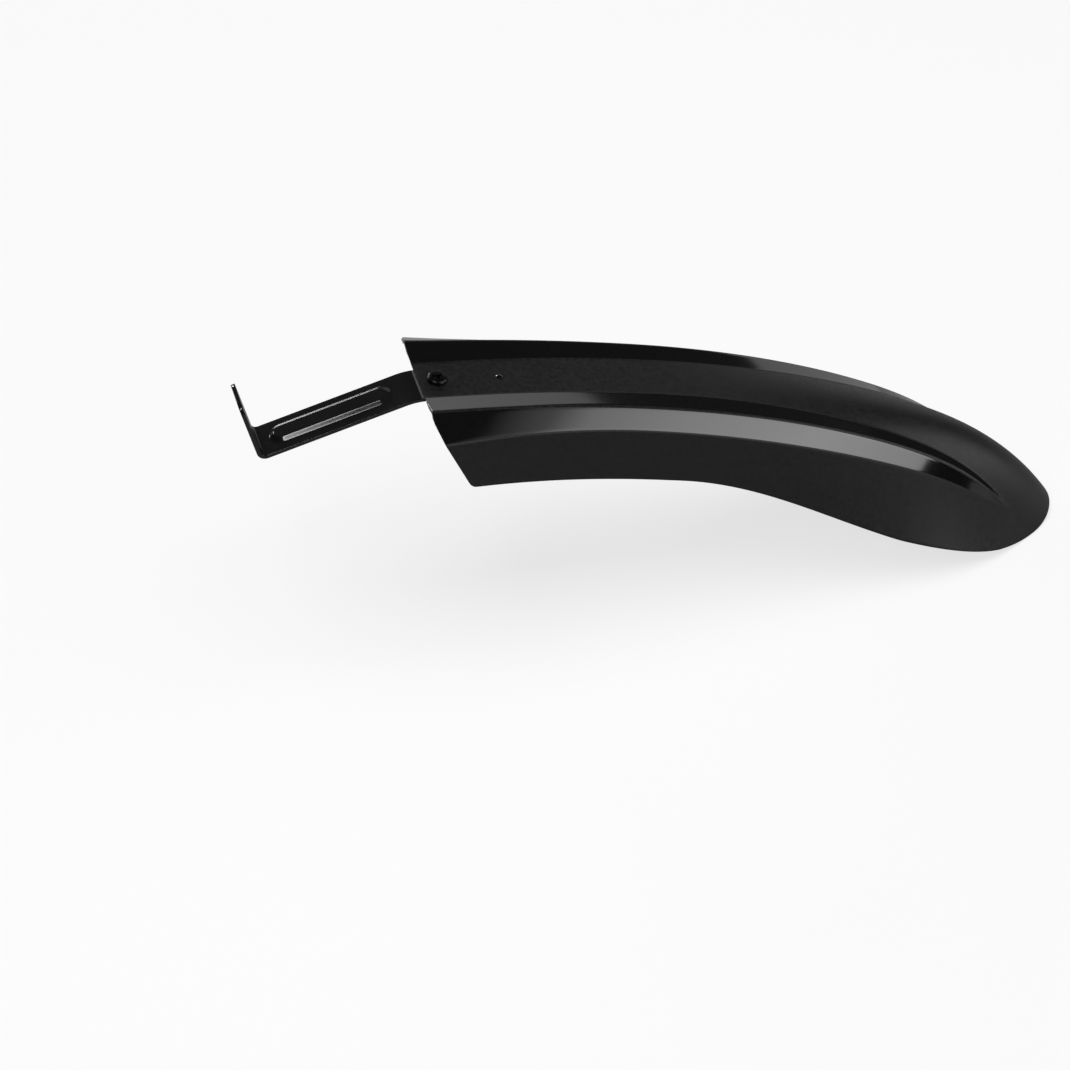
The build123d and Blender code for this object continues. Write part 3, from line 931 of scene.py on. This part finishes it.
def cut(piece, cutter):
    """Takes the cutter's solid out of the piece, and deletes the cutter."""
    modifier = piece.modifiers.new("cut", "BOOLEAN")
    modifier.operation = "DIFFERENCE"
    modifier.solver = "EXACT"
    modifier.object = cutter
    bpy.context.view_layer.update()
    graph = bpy.context.evaluated_depsgraph_get()
    mesh = bpy.data.meshes.new_from_object(piece.evaluated_get(graph))
    piece.modifiers.clear()
    piece.data = mesh
    bpy.data.objects.remove(cutter)


def screw_place(scene):
    """From the screw's frame, under its head, to the part's frame."""
    along = Matrix.Translation((scene.mudguard_fasteners.place, 0, 0))
    return blade_place(scene.mudguard_blade, scene.mudguard_strap) @ along


def screw_hole(scene):
    """A cutter for the screw's hole through blade and strap."""
    fasteners = scene.mudguard_fasteners
    radius = (fasteners.diameter + fasteners.clearance) / 2
    rings = [ring(radius, height) for height in (-fasteners.length, fasteners.length)]
    return turned_piece("screw_hole", rings, screw_place(scene))


class MUDGUARD_OT_blade(Operator):
    """Build the moulded blade and the pip on its channel floor"""

    bl_idname = "mudguard.blade"
    bl_label = "Blade"

    def execute(self, context):
        blade = context.scene.mudguard_blade
        place = blade_place(blade, context.scene.mudguard_strap)
        form = BladeForm(blade)
        plastic = moulded_plastic(blade)
        faces = form.face(False), form.face(True)
        mesh = sheet_mesh("moulded_blade", *faces, blade.rim_round, place, form.polished_faces())
        piece = link_piece("moulded_blade", mesh)
        cut(piece, screw_hole(context.scene))
        finish_piece(piece, plastic, "blade_plastic", "blade")

        foot = form.placed(np.array(blade.pip_at), np.array(0.0), np.array(-blade.pip_sink))
        turn = Matrix.Rotation(float(form.fall(blade.pip_at)), 4, "Y")
        rings = [ring(blade.pip_radius * out, blade.pip_height * up) for out, up in PIP_PROFILE]
        pip = turned_piece("moulded_pip", rings, place @ Matrix.Translation(foot) @ turn)
        polish = pip.data.attributes.new(POLISH, "FLOAT", "FACE")
        polish.data.foreach_set("value", [1.0] * len(pip.data.polygons))
        finish_piece(pip, plastic, "blade_plastic")
        return {"FINISHED"}


class StripForm:
    """The strap's upper face as straight runs and arcs in side view, with its bead and rounded ends."""

    def __init__(self, strap):
        self.strap = strap
        self.half = STRAP_WIDTH / 2
        tab_tangent = strap.tab_bend_radius
        bend_tangent = strap.bend_radius * math.tan(strap.bend / 2)
        self.runs = [
            (strap.tab_height - tab_tangent, 0.0),
            (strap.tab_bend_radius * math.pi / 2, 1 / strap.tab_bend_radius),
            (strap.reach - tab_tangent - bend_tangent, 0.0),
            (strap.bend_radius * strap.bend, -1 / strap.bend_radius),
            (strap.setback + strap.lap - bend_tangent, 0.0),
        ]
        self.length = sum(length for length, _ in self.runs)

    def rows(self):
        """Place along the strip, side view point and heading of each row, from the tab to the lap's end."""
        x, z = STRAP_THICKNESS, self.strap.tab_height - self.strap.hole_height
        heading, done = -math.pi / 2, 0.0
        found = []
        for (length, curve), steps in zip(self.runs, STRAP_ROWS):
            for step in range(steps):
                distance = length * step / steps
                found.append((done + distance, *self.along(x, z, heading, curve, distance)))
            x, z, heading = self.along(x, z, heading, curve, length)
            done += length
        found.append((done, x, z, heading))
        return found

    @staticmethod
    def along(x, z, heading, curve, distance):
        """Point and heading after a distance on a straight run or an arc."""
        if not curve:
            return x + distance * math.cos(heading), z + distance * math.sin(heading), heading
        turned = heading + curve * distance
        x += (math.sin(turned) - math.sin(heading)) / curve
        z -= (math.cos(turned) - math.cos(heading)) / curve
        return x, z, turned

    def half_width(self, place):
        """Half the strip's width, less at its rounded ends."""
        before_tab_end, before_lap_end = place, self.length - place
        if before_tab_end < before_lap_end:
            radius, from_end = self.strap.tab_corner_radius, before_tab_end
        else:
            radius, from_end = self.strap.end_radius, before_lap_end
        short = radius - min(from_end, radius)
        return self.half - radius + math.sqrt(radius**2 - short**2)

    def raised(self, x, across, inset):
        """Height of the bead at a point of the level strap, with its outline moved in by an inset."""
        strap = self.strap
        middle = STRAP_THICKNESS + strap.bead_to_tab + strap.bead_length / 2
        along = np.maximum(np.abs(x - middle) - (strap.bead_length - strap.bead_width) / 2, 0.0)
        inside = strap.bead_width / 2 - inset - np.hypot(along, across)
        run = strap.bead_height * math.tan(strap.bead_taper)

        def soft_start(distance):
            near = np.clip(distance + strap.bead_soft, 0.0, 2 * strap.bead_soft)
            return near**2 / (4 * strap.bead_soft) + np.maximum(distance - strap.bead_soft, 0.0)

        return (soft_start(inside) - soft_start(inside - run)) * strap.bead_height / run

    def face(self, lower):
        """Grid of the upper or the lower face."""
        taper = self.strap.bead_taper
        inset = STRAP_THICKNESS * (1 / math.cos(taper) - math.tan(taper)) if lower else 0.0
        shares = np.linspace(-1.0, 1.0, STRAP_COLUMNS)
        grid = []
        for place, x, z, heading in self.rows():
            across = self.half_width(place) * shares
            level_run = abs(heading) < TINY
            lift = self.raised(x, across, inset) if level_run else np.zeros_like(across)
            down = (STRAP_THICKNESS if lower else 0.0) - lift
            row = [x + down * math.sin(heading), across, z - down * math.cos(heading)]
            grid.append(np.stack(row, axis=-1))
        return np.stack(grid)


class MUDGUARD_OT_strap(Operator):
    """Build the bent and beaded steel strap with its two holes"""

    bl_idname = "mudguard.strap"
    bl_label = "Strap"

    def execute(self, context):
        strap = context.scene.mudguard_strap
        form = StripForm(strap)
        faces = form.face(False), form.face(True)
        mesh = sheet_mesh("painted_strap", *faces, strap.rim_round, strap_place())
        piece = link_piece("painted_strap", mesh)
        cut(piece, self.fork_hole(strap))
        cut(piece, screw_hole(context.scene))
        finish_piece(piece, gloss_paint(strap), "strap_paint", "strap_bracket")
        return {"FINISHED"}

    @staticmethod
    def fork_hole(strap):
        """A cutter for the fork bolt's hole through the tab, with a broken edge at both faces."""
        half = STRAP_THICKNESS / 2
        broken = FORK_HOLE_RADIUS + strap.rim_round
        profile = [
            (broken + STRAP_THICKNESS, -half - STRAP_THICKNESS), (broken, -half),
            (FORK_HOLE_RADIUS, strap.rim_round - half), (FORK_HOLE_RADIUS, half - strap.rim_round),
            (broken, half), (broken + STRAP_THICKNESS, half + STRAP_THICKNESS),
        ]
        through_tab = Matrix.Translation((half, 0, 0)) @ Matrix.Rotation(math.pi / 2, 4, "Y")
        return turned_piece("fork_hole", [ring(*pair) for pair in profile], strap_place() @ through_tab)


class MUDGUARD_OT_fasteners(Operator):
    """Build the screw with its recess and thread, the washer and the nut"""

    bl_idname = "mudguard.fasteners"
    bl_label = "Screw, washer and nut"

    def execute(self, context):
        fasteners = context.scene.mudguard_fasteners
        place = screw_place(context.scene)
        black = turned_metal("black_zinc", fasteners.screw_colour, fasteners.screw_roughness, COLD_TINT)
        zinc = turned_metal("bright_zinc", fasteners.zinc_colour, fasteners.zinc_roughness, WARM_TINT)

        screw = turned_piece("pan_screw", self.screw_rings(fasteners), place)
        cut(screw, turned_piece("recess", self.recess_rings(fasteners), place))
        finish_piece(screw, black, "screw_black", "screw")

        under = -context.scene.mudguard_blade.wall - STRAP_THICKNESS
        below_strap = place @ Matrix.Translation((0, 0, under))
        washer = turned_piece("flat_washer", self.washer_rings(fasteners), below_strap, closed=True)
        finish_piece(washer, zinc, "zinc_steel", "washer")

        below_washer = place @ Matrix.Translation((0, 0, under - fasteners.washer_thickness))
        nut = turned_piece("hexagon_nut", self.nut_rings(fasteners), below_washer, closed=True)
        finish_piece(nut, zinc, "zinc_steel", "nut")
        return {"FINISHED"}

    @staticmethod
    def screw_rings(fasteners):
        """Rings from the top of the pan head to the tip of the thread."""
        radius = fasteners.head_diameter / 2
        top, rim = fasteners.head_height, fasteners.head_rim
        fillet = top - rim
        rings = [ring(radius * share, top) for share in HEAD_TOP]
        for step in range(HEAD_STEPS + 1):
            turn = math.pi / 2 * step / HEAD_STEPS
            rings.append(ring(radius - fillet + fillet * math.sin(turn), rim + fillet * math.cos(turn)))
        rings += [ring(radius, fasteners.edge_round), ring(radius - fasteners.edge_round, 0.0)]

        outer = fasteners.diameter / 2
        depth = THREAD_DEPTH * fasteners.pitch
        steps = math.ceil(THREAD_STEPS * fasteners.length / fasteners.pitch)
        for step in range(steps + 1):
            down = fasteners.length * step / steps
            tip = max(down - fasteners.length + fasteners.tip_chamfer, 0.0)

            def thread(turn, down=down, tip=tip):
                phase = (down / fasteners.pitch + turn / (2 * math.pi)) % 1.0
                return outer - depth * (1 - abs(2 * phase - 1)) * min(down / fasteners.pitch, 1.0) - tip

            rings.append(ring(thread, -down))
        rings.append(ring(outer * TIP_SHARE, -fasteners.length))
        return rings

    @staticmethod
    def recess_rings(fasteners):
        """A cross that narrows from above the head to the bottom of the recess."""
        half, arm = fasteners.recess_length / 2, fasteners.recess_width / 2
        quarter = [(half, -arm), (half, arm), (arm, arm)]
        cross = []
        for step in range(4):
            turn = Matrix.Rotation(math.pi / 2 * step, 2)
            cross += [turn @ Vector(point) for point in quarter]
        top, depth = fasteners.head_height, fasteners.recess_depth
        levels = [(RECESS_MOUTH, top + depth), (1.0, top), (RECESS_FLOOR, top - depth)]
        return [[(point.x * share, point.y * share, height) for point in cross] for share, height in levels]

    @staticmethod
    def washer_rings(fasteners):
        """Closed skin of a flat washer below its seat, with broken edges."""
        outer, inner = fasteners.washer_diameter / 2, fasteners.washer_bore / 2
        low, edge = -fasteners.washer_thickness, fasteners.edge_round
        profile = [
            (inner + edge, 0.0), (outer - edge, 0.0), (outer, -edge), (outer, low + edge),
            (outer - edge, low), (inner + edge, low), (inner, low + edge), (inner, -edge),
        ]
        return [ring(*pair) for pair in profile]

    @staticmethod
    def nut_rings(fasteners):
        """Closed skin of a hexagon nut below its seat, its corners turned off at both faces."""
        flat = fasteners.nut_across_flats / 2
        low, bore, edge = -fasteners.nut_height, fasteners.nut_bore / 2, 2 * fasteners.edge_round
        face = flat * NUT_FACE
        blunt = flat / math.cos(NUT_BLUNTING)
        fall = math.tan(NUT_CHAMFER)

        def hexagon(turn):
            return min(flat / math.cos((turn + math.pi / 6) % (math.pi / 3) - math.pi / 6), blunt)

        def upper(turn):
            return -(hexagon(turn) - flat) * fall - edge / 4

        def lower(turn):
            return low - upper(turn)

        return [
            ring(bore + edge, 0.0), ring(face, 0.0), ring(hexagon, upper), ring(hexagon, lower),
            ring(face, low), ring(bore + edge, low), ring(bore, low + edge), ring(bore, -edge),
        ]


def lamp(name, settings, target):
    """A softbox that faces its target, with a set brightness of its face, unseen by the camera."""
    data = bpy.data.lights.new(name, "AREA")
    data.shape = "RECTANGLE"
    data.size = settings.width
    data.size_y = settings.height
    data.energy = settings.level * math.pi * settings.width * settings.height
    made = bpy.data.objects.new(name, data)
    bpy.context.scene.collection.objects.link(made)
    flat = math.cos(settings.rise)
    out = Vector((math.sin(settings.turn) * flat, -math.cos(settings.turn) * flat, math.sin(settings.rise)))
    facing = (-out).to_track_quat("-Z", "Y").to_matrix().to_4x4()
    roll = Matrix.Rotation(settings.roll, 4, "Z")
    made.matrix_world = Matrix.Translation(target + out * settings.distance) @ facing @ roll
    made.visible_camera = False
    return made


def fade(light, stops):
    """Lets the brightness of a lamp's face change up its height."""
    finish = Finish(light)
    spot = finish.node("ShaderNodeNewGeometry", output="Parametric")
    up = finish.node("ShaderNodeSeparateXYZ", None, {"Vector": spot}, "Y")
    shade = finish.node("ShaderNodeValToRGB", {"stops": stops}, {"Fac": up})
    glow = finish.node("ShaderNodeEmission", None, {"Color": shade, "Strength": 1.0})
    finish.node("ShaderNodeOutputLight", None, {"Surface": glow})


class MUDGUARD_OT_stage(Operator):
    """Set up the floor, the dark room, the lamps and the camera"""

    bl_idname = "mudguard.stage"
    bl_label = "Stage"

    def execute(self, context):
        stage = context.scene.mudguard_stage
        low, high = CAD_BOX
        middle = (low + high) / 2
        ground = low.z - stage.floor_gap

        mesh = bpy.data.meshes.new("floor")
        work = bmesh.new()
        work.faces.new([work.verts.new(point) for point in ring(stage.floor_radius, 0.0)])
        work.to_mesh(mesh)
        work.free()
        mesh.materials.append(floor_board(stage))
        floor = link_piece("floor", mesh, Matrix.Translation((middle.x, middle.y, ground)))

        lamps = {}
        for name in LAMPS:
            target = Vector() if name in TAB_LAMPS else middle
            lamps[name] = lamp(name, getattr(context.scene, f"mudguard_{name}"), target)
        fade(lamps["key_softbox"].data, KEY_FADE)
        lamps["top_sheet"].visible_glossy = False
        context.scene.world = dark_room(stage)

        data = bpy.data.cameras.new("camera")
        data.lens = stage.lens
        camera = bpy.data.objects.new("camera", data)
        context.scene.collection.objects.link(camera)
        camera.matrix_world = (
            Matrix.Translation(stage.camera_place)
            @ Matrix.Rotation(stage.camera_turn, 4, "Z")
            @ Matrix.Rotation(math.pi / 2 - stage.camera_dip, 4, "X")
            @ Matrix.Rotation(stage.camera_roll, 4, "Z")
        )
        context.scene.camera = camera
        context.scene.view_settings.view_transform = "Standard"
        return {"FINISHED"}


class MUDGUARD_PT_panel(Panel):
    """The mudguard's pieces and their settings"""

    bl_label = "Front mudguard"
    bl_idname = "MUDGUARD_PT_panel"
    bl_space_type = "VIEW_3D"
    bl_region_type = "UI"
    bl_category = "Mudguard"

    def draw(self, context):
        for operator in OPERATORS:
            self.layout.operator(operator.bl_idname)
        for name in SETTINGS:
            group = getattr(context.scene, name)
            box = self.layout.box()
            box.label(text=name.removeprefix("mudguard_").replace("_", " ").capitalize())
            for key in group.__annotations__:
                box.prop(group, key)


SETTINGS = {
    "mudguard_blade": BladeSettings,
    "mudguard_strap": StrapSettings,
    "mudguard_fasteners": FastenerSettings,
    "mudguard_stage": StageSettings,
    **{f"mudguard_{name}": group for name, group in LAMPS.items()},
}
OPERATORS = (MUDGUARD_OT_blade, MUDGUARD_OT_strap, MUDGUARD_OT_fasteners, MUDGUARD_OT_stage)
CLASSES = (*SETTINGS.values(), *OPERATORS, MUDGUARD_PT_panel)


def register():
    for item in CLASSES:
        bpy.utils.register_class(item)
    for name, group in SETTINGS.items():
        setattr(bpy.types.Scene, name, PointerProperty(type=group))


def unregister():
    for name in SETTINGS:
        delattr(bpy.types.Scene, name)
    for item in reversed(CLASSES):
        bpy.utils.unregister_class(item)


def main():
    register()
    bpy.ops.mudguard.blade()
    bpy.ops.mudguard.strap()
    bpy.ops.mudguard.fasteners()
    bpy.ops.mudguard.stage()


if __name__ == "__main__":
    main()
